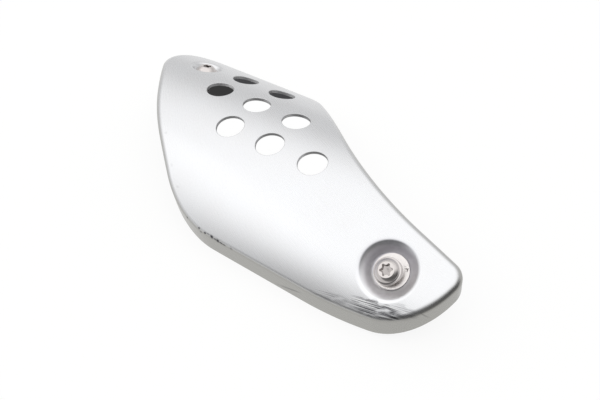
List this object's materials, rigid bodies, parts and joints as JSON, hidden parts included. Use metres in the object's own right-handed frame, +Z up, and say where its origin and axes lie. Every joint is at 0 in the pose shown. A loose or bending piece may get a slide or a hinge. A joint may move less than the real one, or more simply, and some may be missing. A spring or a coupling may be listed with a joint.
{
  "type": "heat shield",
  "caption": "Curved pressed-sheet heat shield with a turned-down rim, slanted rows of round vents, and dished screw seats, made to cover part of a round exhaust silencer.",
  "frame": {"origin": "middle of the plan outline, on the table plane under the two long rim edges that the shield stands on", "axes": "+X runs along the axis of the round skin, from the wide end to the narrow end; +Y runs across it, towards the long back edge of the wide end; +Z is up, out of the convex side"},
  "size_m": [0.2388, 0.1164, 0.0364],
  "materials": {
    "sheet": "satin brushed, with light scratches",
    "collar": "turned stainless steel",
    "screw": "bright stainless steel"
  },
  "bodies": {
    "root": {"shield": "sheet", "narrow_end_collar": "collar", "wide_end_screw": "screw", "narrow_end_screw": "screw"}
  },
  "joints": []
}
